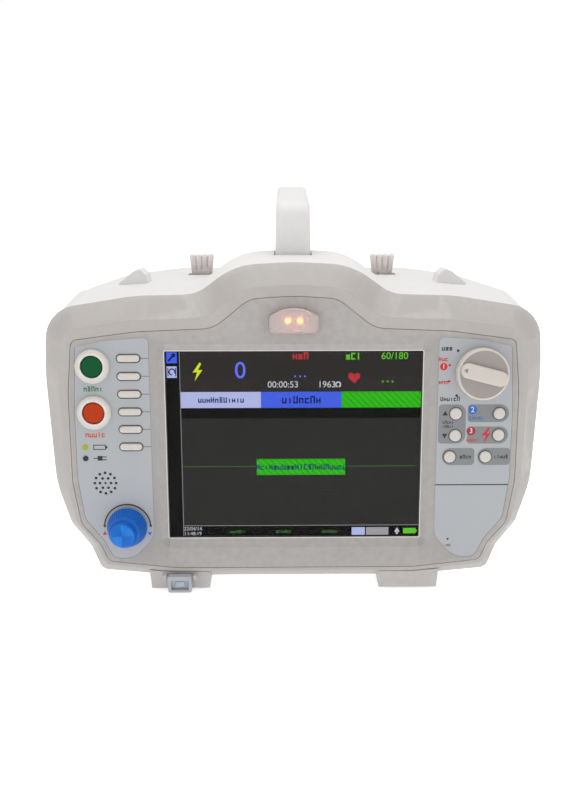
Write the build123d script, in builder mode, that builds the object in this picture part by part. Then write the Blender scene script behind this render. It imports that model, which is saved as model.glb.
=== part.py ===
from build123d import *
from math import cos, pi, radians, sin
import os

os.makedirs("parts", exist_ok=True)

# A portable monitor defibrillator, in millimetres. X runs to the right, the front faces -Y and Z is up.
# The origin is on the table under the middle of the machine.

# ---------- driving dimensions ----------
lean = 8                  # the front panel leans back this far, in degrees
screen_height = 125.5     # middle of the screen above the table
front_y = -107.6          # middle of the screen in Y
body_depth = 250          # from the middle of the screen to the rear wall
middle_depth = 105        # the fullest section of the covers
wall = 3                  # moulded covers
slit = 0.4                # gap between neighbouring covers
crease_turn = 3           # the edge behind the bezel leans back this much more than the panel
crease_back = 10          # and stands this far behind it
fascia_thickness = 3
screen_width = 211.2      # a 10.4 inch panel
screen_rise = 158.4
deck_slope = 0.045        # the top falls this much per millimetre towards the rear
key_gap = 0.8             # around each key in the fascia

# Half outlines, from the middle of the top to the middle of the bottom: x, y and corner radius.
parting_half = [
    (0, 124.2, 250), (36, 121.5, 22), (65, 98, 28), (128, 95.5, 150), (180.5, 88.5, 6), (184.6, 45, 200),
    (184.4, -30, 60), (178.5, -66, 12), (163, -84, 14), (157, -99, 8), (100, -105.3, 150),
]
crease_half = [
    (0, 150.8, 250), (48, 148.2, 60), (80, 124.6, 32), (131, 123.5, 150), (203.5, 112, 28), (205.6, 60, 200),
    (199.5, -33, 90), (188, -67, 14), (172, -87, 14), (163.5, -107.5, 8), (100, -113.2, 150),
]
shoulder_half = [(118, 123.8, 150)] + crease_half[4:]
middle_half = [
    (118, 241.8, 150), (200, 236.5, 15), (203, 183, 200), (196, 92, 90), (184, 58.5, 14), (168.5, 38.5, 14),
    (160.5, 18, 8), (100, 12.6, 150),
]
rear_half = [
    (118, 235.6, 150), (188, 226, 20), (195, 181, 200), (189, 94, 90), (178, 61, 14), (163, 41, 14),
    (156, 20.5, 8), (100, 15, 150),
]
hump_half = crease_half[:3] + [(104, 120, 0), (104, 108, 0)]
label_half = [
    (117.7, 90.8, 4), (150, 88.9, 120), (177.3, 83.4, 3), (179.9, 30, 200), (179.8, -28, 60),
    (174.9, -62, 12),
    (160, -80.5, 14), (152.6, -95.8, 7), (136, -97.2, 20), (117.7, -78, 20),
]

front = Plane(
    (0, front_y, screen_height), x_dir=(1, 0, 0), z_dir=(0, -cos(radians(lean)), sin(radians(lean)))
)
outward = Axis(front.origin, front.z_dir)
crease_angle = radians(lean + crease_turn)
crease = Plane(
    front.offset(-crease_back).origin, x_dir=(1, 0, 0), z_dir=(0, -cos(crease_angle), sin(crease_angle))
)


def back(distance):
    """Y at a distance behind the middle of the screen."""
    return front_y + distance


def upright(distance):
    """An upright plane facing the front, with local y equal to Z."""
    return Plane((0, back(distance), 0), x_dir=(1, 0, 0), z_dir=(0, -1, 0))


def mirrored(half):
    """The closed outline of a half outline, clockwise from the top."""
    left = [(-x, y, r) for x, y, r in reversed(half) if x > 0]
    return half + left


def grown(corners, amount):
    """A parallel outline: corners move outwards along their mitres and radii follow."""
    moved = []
    for index, (x, y, r) in enumerate(corners):
        before = Vector(*corners[index - 1][:2])
        after = Vector(*corners[(index + 1) % len(corners)][:2])
        here = Vector(x, y)
        first = (here - before).normalized()
        second = (after - here).normalized()
        turn = first.X * second.Y - first.Y * second.X
        normal = Vector(-first.Y - second.Y, first.X + second.X)
        shift = normal * (amount / (1 + first.dot(second)))
        radius = r + amount if turn < 0 else r - amount
        moved.append((x + shift.X, y + shift.Y, max(radius, 0) if r else 0))
    return moved


def outline(corners):
    """A face inside the given rounded corners, for use in a sketch."""
    with BuildLine() as edge:
        FilletPolyline(*[(x, y) for x, y, _ in corners], radius=[r for _, _, r in corners], close=True)
    make_face(edge.edges())


def between(first, second, share):
    """An outline part of the way from one to the other."""
    return [
        tuple(a + (b - a) * share for a, b in zip(one, other)) for one, other in zip(first, second)
    ]


def block(low, high, mode=Mode.ADD):
    """A box between two opposite corners."""
    with Locations(tuple((a + b) / 2 for a, b in zip(low, high))):
        Box(*[b - a for a, b in zip(low, high)], mode=mode)


def rod(start, axis, radius, length, mode=Mode.ADD):
    """A cylinder from a point along an axis."""
    with Locations(Plane(start, z_dir=axis)):
        Cylinder(radius, length, align=(Align.CENTER, Align.CENTER, Align.MIN), mode=mode)


def save(piece, name):
    piece.part.label = name
    export_step(piece.part, f"parts/{name}.step")


# The outlines run clockwise, so that grown() moves them outwards.
parting = mirrored(parting_half)
crease_outline = mirrored(crease_half)
lip = between(parting, crease_outline, 0.32)
shoulder = mirrored(shoulder_half)
middle_outline = mirrored(middle_half)
rear_outline = mirrored(rear_half)
hump = mirrored(hump_half)

# ---------- front bezel and its seal ----------
bezel_rim = 4             # straight rim behind the sloping band
ledge = 4                 # the fascia rests on this ledge

with BuildPart() as bezel_hollow:
    with BuildSketch(front.offset(-4)):
        outline(grown(lip, -3.2))
    with BuildSketch(crease):
        outline(grown(crease_outline, -wall))
    loft()
    with BuildSketch(crease):
        outline(grown(crease_outline, -wall))
    extrude(amount=-bezel_rim - 2)
    with BuildSketch(front.offset(1)):
        outline(grown(parting, 2.6))
    extrude(amount=-40, mode=Mode.SUBTRACT)

with BuildPart() as bezel_outer:
    with BuildSketch(front):
        outline(lip)
    with BuildSketch(crease):
        outline(crease_outline)
    loft()
    fillet(edges().filter_by(lambda edge: abs(front.to_local_coords(edge.center()).Z) < 0.01), 1.5)
    with BuildSketch(crease):
        outline(crease_outline)
    extrude(amount=-bezel_rim)

with BuildPart() as front_bezel:
    add(bezel_outer.part)
    with BuildSketch(front.offset(5)):
        outline(parting)
    extrude(amount=-5 - fascia_thickness - slit, mode=Mode.SUBTRACT)
    with BuildSketch(front.offset(1)):
        outline(grown(parting, -ledge))
    extrude(amount=-60, mode=Mode.SUBTRACT)
    add(bezel_hollow.part, mode=Mode.SUBTRACT)
save(front_bezel, "front_bezel")

joint_plane = crease.offset(-bezel_rim - slit)
with BuildPart() as front_seal:
    with BuildSketch(joint_plane.offset(slit)):
        outline(grown(crease_outline, -wall - 0.4))
    extrude(amount=1.8)
    with BuildSketch(joint_plane.offset(slit)):
        outline(grown(crease_outline, -wall - 1.9))
    extrude(amount=1.8, mode=Mode.SUBTRACT)
save(front_seal, "front_seal")

# ---------- rear housing ----------
hump_end = 118            # the raised middle of the top ends here
ridge_front = 128
ridge_length = 22
latch_x = 90
latch_back = 187
latch_pivot_z = 226
bay_low = (30, 108, 34)   # battery bay: x, distance behind the screen, z
bay_high = (126, 252, 96)
side_face = 192           # flat recessed panels in both sides
cover_split = 204         # the top cover meets the housing at this height
side_low = (58, 112)      # distance behind the screen, z
side_high = (208, 196)
mains_x = -120
mains_z = 62
screw_places = [(-160, 210), (160, 210), (-150, 36), (150, 36)]
printer_low = (76, 124)   # distance behind the screen, z
printer_high = (190, 188)
socket_places = [(86, 154, 13), (122, 154, 11), (164, 154, 20)]   # distance behind, z, radius

with BuildPart() as side_zones:
    for near, far in ((-240, wall - side_face), (side_face - wall, 240)):
        block((near, back(side_low[0] - wall), side_low[1] - wall),
              (far, back(side_high[0] + wall), side_high[1] + wall))

with BuildPart() as cavity:
    with BuildSketch(joint_plane.offset(1)):
        outline(grown(shoulder, -wall))
    with BuildSketch(upright(middle_depth)):
        outline(grown(middle_outline, -wall))
    with BuildSketch(upright(body_depth - wall)):
        outline(grown(rear_outline, -wall))
    loft(ruled=True)
    with BuildSketch(joint_plane.offset(1)):
        outline(grown(hump, -wall))
    extrude(amount=hump_end - 42, dir=(0, 1, 0))
    add(side_zones.part, mode=Mode.SUBTRACT)

with BuildPart() as tub_outer:
    with BuildSketch(joint_plane):
        outline(shoulder)
    with BuildSketch(upright(middle_depth)):
        outline(middle_outline)
    with BuildSketch(upright(body_depth)):
        outline(rear_outline)
    loft(ruled=True)
    fillet(faces().sort_by(Axis.Y)[-1].edges(), 5)

with BuildPart() as covers:
    add(tub_outer.part)
    with BuildSketch(joint_plane):
        outline(hump)
    extrude(amount=hump_end - 38, dir=(0, 1, 0))
    for side in (-1, 1):
        with BuildSketch(upright(ridge_front)):
            with BuildLine() as ridge:
                FilletPolyline(
                    (side * 134, 236), (side * 136.5, 247), (side * 142, 252), (side * 148, 250.3),
                    (side * 163, 238.5), (side * 158, 233), radius=[0, 3, 3, 4, 2, 0], close=True,
                )
            make_face(ridge.edges())
        extrude(amount=ridge_length, dir=(0, 1, -deck_slope))
    add(cavity.part, mode=Mode.SUBTRACT)
    for side in (-1, 1):
        near, far = sorted((side * (latch_x - 13.5), side * (latch_x + 13.5)))
        block((near, back(latch_back - 7), 215), (far, back(latch_back + 7), 245), mode=Mode.SUBTRACT)
        for lug in (latch_x - 15.5, latch_x + 15.5):
            near, far = sorted((side * (lug - 1.5), side * (lug + 1.5)))
            block((near, back(latch_back - 5), latch_pivot_z - 5), (far, back(latch_back + 5), 237))
        rod((side * latch_x - 20, back(latch_back), latch_pivot_z), (1, 0, 0), 1.53, 40, mode=Mode.SUBTRACT)
        near, far = sorted((side * side_face, side * 240))
        block((near, back(side_low[0]), side_low[1]), (far, back(side_high[0]), side_high[1]),
              mode=Mode.SUBTRACT)
    block(
        (bay_low[0] - wall, back(bay_low[1]), bay_low[2] - wall),
        (bay_high[0] + wall, back(body_depth - 1), bay_high[2] + wall),
    )
    block(
        (bay_low[0], back(bay_low[1] + 2), bay_low[2]), (bay_high[0], back(bay_high[1]), bay_high[2]),
        mode=Mode.SUBTRACT,
    )
    block((-22, back(88), 256), (22, back(hump_end - 1), 270))
    block((-16.8, back(90), 267), (16.8, back(119), 300), mode=Mode.SUBTRACT)
    block((-22, back(212), 222), (22, back(246), 234.5))
    block((-16.8, back(216), 232), (16.8, back(243), 300), mode=Mode.SUBTRACT)
    for y, z in ((104, 256), (229, 222)):
        rod((0, back(y), z - 1), (0, 0, 1), 2.7, 20, mode=Mode.SUBTRACT)
    block((mains_x - 24.5, back(240), mains_z - 14), (mains_x + 24.5, back(252), mains_z + 14),
          mode=Mode.SUBTRACT)
    for x, z in screw_places:
        rod((x, back(body_depth - 1.2), z), (0, 1, 0), 4.5, 4, mode=Mode.SUBTRACT)
        rod((x, back(body_depth - 10), z), (0, 1, 0), 2.3, 20, mode=Mode.SUBTRACT)
    block((-side_face - 1, back(printer_low[0] - 0.6), printer_low[1] - 0.6),
          (-side_face + wall + 1, back(printer_high[0] + 0.6), printer_high[1] + 0.6), mode=Mode.SUBTRACT)
    for y, z, radius in socket_places:
        rod((side_face - wall - 1, back(y), z), (1, 0, 0), radius + 0.3, 6, mode=Mode.SUBTRACT)

# The covers are three mouldings: the housing, the top and a recessed panel in each side.
with BuildPart() as top_cover:
    add(covers.part)
    block((-240, -240, -10), (240, 240, cover_split), mode=Mode.SUBTRACT)
save(top_cover, "top_cover")

with BuildPart() as side_panels:
    add(covers.part)
    add(side_zones.part, mode=Mode.INTERSECT)
save(side_panels, "side_panels")

with BuildPart() as rear_housing:
    add(covers.part)
    block((-240, -240, cover_split), (240, 240, 400), mode=Mode.SUBTRACT)
    add(side_zones.part, mode=Mode.SUBTRACT)
save(rear_housing, "rear_housing")

# ---------- fascia and what is set in it ----------
lens_width = 40.6
lens_low = 94
lens_high = 114.5
print_key = (-163.7, 67.3)
alarm_key = (-163.7, 29.2)
soft_keys = [(-134.4, 73.7 - 14.68 * step) for step in range(6)]
round_keys = {
    "energy_up_key": (133.1, 27.3), "energy_down_key": (133.1, 8.8), "charge_key": (169, 27.3),
    "shock_key": (169, 9.2), "sync_key": (129.1, -9.2), "disarm_key": (158.8, -9.2),
}
status_lights = [(-172.4, 0), (-172.4, -9.4)]
alarm_lights = [(-4.9, 103.7), (4.9, 103.7)]
speaker_place = (-157, -30.6)
microphone_place = (129.8, -80.6)
menu_knob_place = (-139.9, -68.4)
mode_knob_place = (153, 60.8)
round_key_radius = 4.75
soft_key_size = (18.1, 5.5)
key_flange = 1.7
button_radius = 8.75
board_face = -8.2         # the switch boards' front, below the panel's surface


def lens_outline(amount=0.0):
    """The indicator lens's outline: a flat foot, short sides and a domed top."""
    half = lens_width / 2 + amount
    foot = lens_low - amount
    with BuildLine() as edge:
        Polyline((-half, 107.2), (-half, foot), (half, foot), (half, 107.2))
        ThreePointArc((half, 107.2), (0, lens_high + amount), (-half, 107.2))
        fillet(edge.vertices(), 2.8)
    make_face(edge.edges())


def opening_holes(radius_extra, slot_extra):
    """Every key, button, light and sound hole, for the fascia and both labels."""
    with Locations(*round_keys.values()):
        Circle(round_key_radius + radius_extra)
    with Locations(*soft_keys):
        SlotOverall(soft_key_size[0] + slot_extra, soft_key_size[1] + slot_extra)
    with Locations(print_key, alarm_key):
        Circle(11.8)
    with Locations(*status_lights):
        Circle(2.3)
    with Locations(microphone_place):
        Circle(0.9)
    with Locations(speaker_place):
        with PolarLocations(8.8, 12):
            Circle(1.2)
        with PolarLocations(4.6, 6):
            Circle(1.2)
    with Locations(menu_knob_place, mode_knob_place):
        Circle(5)


left_label_outline = [(-x, y, r) for x, y, r in reversed(label_half)]

with BuildPart() as front_fascia:
    with BuildSketch(front):
        outline(grown(parting, -slit))
    extrude(amount=-fascia_thickness)
    for corners in (label_half, left_label_outline):
        with BuildSketch(front):
            outline(corners)
        extrude(amount=-0.5, mode=Mode.SUBTRACT)
    with BuildSketch(front.offset(0.01)):
        with Locations((0, -1.1)):
            RectangleRounded(222.8, 172.6, 7)
    with BuildSketch(front.offset(-2.5)):
        RectangleRounded(screen_width, screen_rise, 1)
    loft(mode=Mode.SUBTRACT)
    with BuildSketch(front):
        RectangleRounded(screen_width, screen_rise, 1)
        lens_outline(0.2)
        opening_holes(key_gap, 2 * key_gap)
    extrude(amount=-fascia_thickness - 1, mode=Mode.SUBTRACT)
save(front_fascia, "front_fascia")

for name, corners in (("left_label", left_label_outline), ("right_label", label_half)):
    with BuildPart() as label:
        with BuildSketch(front.offset(-0.45)):
            outline(grown(corners, -0.2))
        extrude(amount=0.4)
        with BuildSketch(front.offset(-0.45)):
            opening_holes(key_gap, 2 * key_gap)
        extrude(amount=0.4, mode=Mode.SUBTRACT)
    save(label, name)

with BuildPart() as display_window:
    with BuildSketch(front.offset(-3.1)):
        RectangleRounded(screen_width + 6, screen_rise + 6, 2)
    extrude(amount=-1.5)
save(display_window, "display_window")

with BuildPart() as lcd_module:
    with BuildSketch(front.offset(-4.8)):
        RectangleRounded(screen_width + 12, screen_rise + 12, 2)
    extrude(amount=-8)
save(lcd_module, "lcd_module")

with BuildPart() as alarm_lens:
    with BuildSketch(front.offset(-3.1)):
        lens_outline()
    extrude(amount=11.1)
    fillet(faces().sort_by(outward)[-1].edges(), 2.6)
    with BuildSketch(front.offset(-4.7)):
        lens_outline(1.8)
    extrude(amount=1.6)
    with BuildSketch(front.offset(-4.7)):
        lens_outline(-2)
    extrude(amount=10, mode=Mode.SUBTRACT)
save(alarm_lens, "alarm_lens")

with BuildPart() as indicator_lights:
    with BuildSketch(front.offset(-4.7)):
        with Locations(*alarm_lights):
            Circle(2.4)
    extrude(amount=6)
    fillet(faces().sort_by(outward)[-2:].edges(), 1.8)
    with BuildSketch(front.offset(board_face + 0.05)):
        with Locations(*status_lights):
            Circle(2)
    extrude(amount=-board_face + 0.35)
save(indicator_lights, "indicator_lights")

with BuildPart() as button_rings:
    with BuildSketch(front):
        with Locations(print_key, alarm_key):
            Circle(14)
    extrude(amount=4)
    fillet(faces().sort_by(outward)[-2:].edges(), 2.6)
    with BuildSketch(front):
        with Locations(print_key, alarm_key):
            Circle(11.5)
    extrude(amount=-fascia_thickness)
    with BuildSketch(front.offset(5)):
        with Locations(print_key, alarm_key):
            Circle(9.3)
    extrude(amount=-20, mode=Mode.SUBTRACT)
save(button_rings, "button_rings")

for name, place in (("print_button", print_key), ("alarm_button", alarm_key)):
    with BuildPart() as button:
        with BuildSketch(front.offset(-3.6)):
            with Locations(place):
                Circle(button_radius)
        extrude(amount=6.8)
        fillet(faces().sort_by(outward)[-1].edges(), 1.5)
        with BuildSketch(front.offset(-5)):
            with Locations(place):
                Circle(10.6)
        extrude(amount=1.4)
        with BuildSketch(front.offset(-6.2)):
            with Locations(place):
                Circle(3)
        extrude(amount=1.2)
    save(button, name)


def key_outline(place, wide, high, extra=0.0):
    """The outline of a key, grown by extra: a slot, or a circle where it is as wide as it is high."""
    with Locations(place):
        if wide > high:
            SlotOverall(wide + 2 * extra, high + 2 * extra)
        else:
            Circle(high / 2 + extra)


def key(name, place, wide, high):
    """A key with a flange that keeps it behind the fascia and a stem above its switch."""
    with BuildPart() as cap:
        with BuildSketch(front.offset(-3.4)):
            key_outline(place, wide, high)
        extrude(amount=5.2)
        fillet(faces().sort_by(outward)[-1].edges(), 1.2)
        with BuildSketch(front.offset(-4.6)):
            key_outline(place, wide, high, key_flange)
        extrude(amount=1.2)
        with BuildSketch(front.offset(-7)):
            key_outline(place, wide, high)
        extrude(amount=2.4)
    save(cap, name)


for number, place in enumerate(soft_keys, start=1):
    key(f"soft_key_{number}", place, *soft_key_size)
for name, place in round_keys.items():
    key(name, place, 2 * round_key_radius, 2 * round_key_radius)

with BuildPart() as panel_boards:
    with BuildSketch(front.offset(board_face)):
        with Locations((-148.5, 35)):
            Rectangle(55, 94)
        with Locations((149.5, 9)):
            Rectangle(57, 58)
    extrude(amount=-1.6)
    with BuildSketch(front.offset(-4.8)):
        with Locations((0, 103)):
            Rectangle(26, 14)
    extrude(amount=-1.6)
save(panel_boards, "panel_boards")

with BuildPart() as speaker:
    with BuildSketch(front.offset(-3.2)):
        with Locations(speaker_place):
            Circle(14)
            Circle(11.5, mode=Mode.SUBTRACT)
    extrude(amount=-2.5)
    with BuildSketch(front.offset(-5.7)):
        with Locations(speaker_place):
            Circle(14)
    extrude(amount=-4, taper=20)
    with BuildSketch(front.offset(-9.7)):
        with Locations(speaker_place):
            Circle(8)
    extrude(amount=-6)
save(speaker, "speaker")

with BuildPart() as microphone:
    with BuildSketch(front.offset(-3.2)):
        with Locations(microphone_place):
            Circle(3)
    extrude(amount=-2.6)
save(microphone, "microphone")

# Two rotary switches behind the panel, each with a bushing through the fascia and a bore for its shaft.
with BuildPart() as panel_switches:
    for place, half_width in ((menu_knob_place, 7), (mode_knob_place, 9)):
        with BuildSketch(front.offset(-3.4)):
            with Locations(place):
                RectangleRounded(2 * half_width, 2 * half_width, 1.5)
        extrude(amount=-12)
        with BuildSketch(front.offset(-3.4)):
            with Locations(place):
                Circle(4.6)
        extrude(amount=3)
        with BuildSketch(front.offset(1)):
            with Locations(place):
                Circle(3.05)
        extrude(amount=-15, mode=Mode.SUBTRACT)
save(panel_switches, "panel_switches")

with BuildPart() as encoder_spindle:
    with BuildSketch(front.offset(-12)):
        with Locations(menu_knob_place):
            Circle(3)
    extrude(amount=31)
save(encoder_spindle, "encoder_spindle")

with BuildPart() as encoder_knob:
    with BuildSketch(front.offset(1.3)):
        with Locations(menu_knob_place):
            Circle(16.8)
    with BuildSketch(front.offset(25)):
        with Locations(menu_knob_place):
            Circle(10.6)
    loft()
    fillet(faces().sort_by(outward)[-1].edges(), 2)
    with BuildSketch(front.offset(1.3)):
        with Locations(menu_knob_place):
            Circle(3.05)
    extrude(amount=18.5, mode=Mode.SUBTRACT)
save(encoder_knob, "encoder_knob")

with BuildPart() as mode_knob:
    with BuildSketch(front.offset(0.6)):
        with Locations(mode_knob_place):
            Circle(21.2)
    extrude(amount=8.2)
    fillet(faces().sort_by(outward)[-1].edges(), 1.6)
    with BuildSketch(front.offset(8)):
        with Locations(Location((*mode_knob_place, 0), (0, 0, -14.5))):
            SlotOverall(39, 12.4)
    extrude(amount=5)
    fillet(faces().sort_by(outward)[-1].edges(), 1.8)
    with BuildSketch(front.offset(0.6)):
        with Locations(mode_knob_place):
            Circle(3)
    extrude(amount=-13)
save(mode_knob, "mode_knob")

# ---------- carrying handle ----------
handle_front = 92
handle_rear = 241
handle_top = 322
handle_fall = 7           # the grip is this much lower at the front
grip_thickness = 23
leg_thickness = 23
handle_width = 31

with BuildPart() as carry_handle:
    with BuildSketch(Plane.YZ):
        with BuildLine() as side_view:
            FilletPolyline(
                (back(handle_front), 267), (back(handle_front), handle_top - handle_fall),
                (back(handle_rear), handle_top), (back(handle_rear), 232),
                (back(handle_rear - leg_thickness), 232),
                (back(handle_rear - leg_thickness), handle_top - grip_thickness),
                (back(handle_front + leg_thickness), handle_top - grip_thickness),
                (back(handle_front + leg_thickness), 267),
                radius=[0, 15, 22, 0, 0, 16, 14, 0], close=True,
            )
        make_face(side_view.edges())
    extrude(amount=handle_width, both=True)
    with BuildSketch(upright(handle_front - 1)):
        Polygon((-16.5, 232), (16.5, 232), (14.2, handle_top + 5), (-14.2, handle_top + 5), align=None)
    extrude(amount=handle_front - handle_rear - 2, mode=Mode.INTERSECT)
    fillet(faces().sort_by(Axis.X)[0].edges() + faces().sort_by(Axis.X)[-1].edges(), 4.2)
    for y, z in ((handle_front + 12, 267), (handle_rear - 12, 232)):
        rod((0, back(y), z - 1), (0, 0, 1), 2.1, 13, mode=Mode.SUBTRACT)
save(carry_handle, "carry_handle")

# ---------- paddle latches ----------
for name, side in (("paddle_latch_left", -1), ("paddle_latch_right", 1)):
    with BuildPart() as latch:
        with BuildSketch(upright(latch_back - 2.5)):
            with BuildLine() as comb_edge:
                Polyline(
                    (side * latch_x - 9.5, 238), (side * latch_x - 12.5, 259), (side * latch_x + 12.5, 259),
                    (side * latch_x + 9.5, 238), close=True,
                )
            make_face(comb_edge.edges())
        extrude(amount=-6)
        fillet(edges().filter_by(Axis.Y), 1)
        for rib in range(3):
            rod((side * latch_x - 6.2 + 6.2 * rib, back(latch_back - 2.5), 243), (0, 0.04, 1), 1.5, 20,
                mode=Mode.SUBTRACT)
        block((side * latch_x - 9.5, back(latch_back - 2.5), 222),
              (side * latch_x + 9.5, back(latch_back + 3.5), 239))
        rod((side * latch_x - 9.5, back(latch_back), latch_pivot_z), (1, 0, 0), 4, 19)
        rod((side * latch_x - 12, back(latch_back), latch_pivot_z), (1, 0, 0), 1.55, 24, mode=Mode.SUBTRACT)
    save(latch, name)

# ---------- feet and the service port in the left one ----------
foot_inner = 71.5
foot_outer = 122.5
foot_middle = (foot_inner + foot_outer) / 2
pad_thickness = 1.5
port_x = -97
flap_pivot = (-17, 14.2)  # distance behind the screen, z


def foot_blocks(front_edge, rear_edge):
    """A pair of blocks that taper downwards from inside the covers."""
    for side in (-1, 1):
        with BuildSketch(Plane((side * foot_middle, back((front_edge + rear_edge) / 2), 34))) as top:
            Rectangle(foot_outer - foot_inner + 2, rear_edge - front_edge)
        extrude(top.sketch, amount=pad_thickness - 34, taper=3)


with BuildPart() as underside:
    for side in (-1, 1):
        with BuildSketch(Plane((side * 100, 0, 0), x_dir=(0, 1, 0), z_dir=(1, 0, 0))) as above:
            Polygon(
                (back(-15.6), 60), (back(-15.6), 18.7), (back(-11.8), 12.8), (back(-7.3), 11.9),
                (back(40), 12.2), (back(40), 60), align=None,
            )
        extrude(above.sketch, amount=40, dir=(-side, 0, 0))
        extrude(above.sketch, amount=40, dir=(side, 0, 0.09))

with BuildPart() as front_feet:
    foot_blocks(-15.5, 26)
    block((port_x - 6, back(-20), 3.5), (port_x + 6, back(-4), 10.5), mode=Mode.SUBTRACT)
    for lug in (port_x - 13, port_x + 13):
        block((lug - 1.5, back(flap_pivot[0] - 2), flap_pivot[1] - 2),
              (lug + 1.5, back(-11), flap_pivot[1] + 2))
    rod((port_x - 20, back(flap_pivot[0]), flap_pivot[1]), (1, 0, 0), 1.05, 40, mode=Mode.SUBTRACT)
    add(underside.part, mode=Mode.SUBTRACT)
save(front_feet, "front_feet")

with BuildPart() as rear_feet:
    foot_blocks(200, 236)
    block((-140, back(180), 14.2), (140, back(260), 60), mode=Mode.SUBTRACT)
save(rear_feet, "rear_feet")

with BuildPart() as foot_pads:
    for side in (-1, 1):
        for low, high in ((-11, 22), (204, 232)):
            with BuildSketch(Plane((side * foot_middle, back((low + high) / 2), 0))):
                RectangleRounded(40, high - low, 3)
            extrude(amount=pad_thickness)
save(foot_pads, "foot_pads")

with BuildPart() as port_flap:
    block((port_x - 10, back(-21), 1.2), (port_x + 10, back(-16), 16.2))
    fillet(edges().filter_by(Axis.Y), 1.6)
    block((port_x - 7.4, back(-22), 3.4), (port_x + 7.4, back(-18.5), 12.4), mode=Mode.SUBTRACT)
    rod((port_x - 14, back(flap_pivot[0]), flap_pivot[1]), (1, 0, 0), 1, 28)
save(port_flap, "port_flap")

# ---------- printer in the left side ----------
printer_face = -side_face - 3
roll_radius = 21
roll_place = (146, 156)   # distance behind the screen, z
roller_place = (96, 156)
roller_radius = 5.4
door_pivot = 183
door_height = printer_high[1] - printer_low[1] - 9.2

with BuildPart() as printer_frame:
    block((printer_face, back(printer_low[0]), printer_low[1]),
          (-140, back(printer_high[0]), printer_high[1]))
    block(
        (printer_face - 1, back(printer_low[0] + 6), printer_low[1] + 4),
        (-143, back(printer_high[0] - 4), printer_high[1] - 4), mode=Mode.SUBTRACT,
    )
save(printer_frame, "printer_frame")

with BuildPart() as print_head:
    block((-182, back(printer_low[0] + 6), printer_low[1] + 8), (-178, back(116), printer_high[1] - 8))
save(print_head, "print_head")

with BuildPart() as printer_door:
    block(
        (printer_face - 2, back(printer_low[0] + 7), printer_low[1] + 4.6),
        (printer_face + 0.5, back(door_pivot + 1.6), printer_high[1] - 4.6),
    )
    for z in (printer_low[1] + 4.6, printer_high[1] - 6.6):
        block((printer_face, back(roller_place[0] - 4), z), (-184, back(roller_place[0] + 4), z + 2))
    rod((-188, back(roller_place[0]), printer_low[1] + 2), (0, 0, 1), 1.55, 70, mode=Mode.SUBTRACT)
    rod((printer_face, back(door_pivot), printer_low[1] + 4.6), (0, 0, 1), 2, door_height)
    rod((printer_face, back(door_pivot), printer_low[1]), (0, 0, 1), 1.05, 80, mode=Mode.SUBTRACT)
save(printer_door, "printer_door")

with BuildPart() as hinge_pins:
    for side in (-1, 1):
        rod((side * latch_x - 17, back(latch_back), latch_pivot_z), (1, 0, 0), 1.5, 34)
    rod((printer_face, back(door_pivot), printer_low[1] + 4), (0, 0, 1), 1, door_height + 1.2)
save(hinge_pins, "hinge_pins")

with BuildPart() as platen_roller:
    rod((-188, back(roller_place[0]), printer_low[1] + 8), (0, 0, 1), roller_radius, 48)
    rod((-188, back(roller_place[0]), printer_low[1] + 4.8), (0, 0, 1), 1.5, 54.4)
save(platen_roller, "platen_roller")

with BuildPart() as paper_roll:
    rod((-166.5, back(roll_place[0]), printer_low[1] + 7), (0, 0, 1), roll_radius, 50)
    rod((-166.5, back(roll_place[0]), printer_low[1] + 7), (0, 0, 1), 6, 50, mode=Mode.SUBTRACT)
save(paper_roll, "paper_roll")

# ---------- sockets on the right side, mains inlet and rear screws ----------
for name, (y, z, radius) in zip(("ecg_socket", "sensor_socket", "paddle_socket"), socket_places):
    with BuildPart() as socket:
        rod((side_face - 16, back(y), z), (1, 0, 0), radius, 22)
        rod((side_face + 0.05, back(y), z), (1, 0, 0), radius + 3, 2.5)
        rod((side_face - 12, back(y), z), (1, 0, 0), radius - 2.5, 30, mode=Mode.SUBTRACT)
        for turn in range(5):
            pin_y = back(y) + (radius - 6) * cos(2 * pi * turn / 5)
            pin_z = z + (radius - 6) * sin(2 * pi * turn / 5)
            rod((side_face - 13, pin_y, pin_z), (1, 0, 0), 1, 9)
    save(socket, name)

with BuildPart() as mains_inlet:
    block((mains_x - 24, back(218), mains_z - 13.5), (mains_x + 24, back(251), mains_z + 13.5))
    block((mains_x - 13, back(230), mains_z - 9), (mains_x + 13, back(252), mains_z + 9), mode=Mode.SUBTRACT)
    for x, z in ((-7, -2), (0, 3), (7, -2)):
        block((mains_x + x - 1.2, back(229), mains_z + z - 2),
              (mains_x + x + 1.2, back(246), mains_z + z + 2))
save(mains_inlet, "mains_inlet")

with BuildPart() as cover_screws:
    for x, z in screw_places:
        rod((x, back(body_depth - 1.2), z), (0, 1, 0), 4, 1)
        rod((x, back(body_depth - 16), z), (0, 1, 0), 2, 14.8)
    for y, z, seat in ((handle_front + 12, 267, 256), (handle_rear - 12, 232, 222)):
        rod((0, back(y), seat - 3), (0, 0, 1), 4.5, 3)
        rod((0, back(y), seat), (0, 0, 1), 2, z - seat + 9)
save(cover_screws, "cover_screws")

# ---------- battery ----------
with BuildPart() as battery_pack:
    block(
        (bay_low[0] + 1, back(bay_low[1] + 6), bay_low[2] + 1),
        (bay_high[0] - 1, back(body_depth + 1), bay_high[2] - 1),
    )
    fillet(edges().filter_by(Axis.Y), 2)
    block((bay_low[0] + 30, back(body_depth - 8), bay_high[2] - 16),
          (bay_high[0] - 30, back(260), bay_high[2] - 6), mode=Mode.SUBTRACT)
save(battery_pack, "battery_pack")

# ---------- chassis and electronics ----------
with BuildPart() as chassis:
    block((-124, back(40), 21), (24, back(205), 22.5))
    block((-124, back(38.5), 21), (124, back(40), 200))
    block((-90, back(36), 60), (90, back(41), 190), mode=Mode.SUBTRACT)
save(chassis, "chassis")

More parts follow.
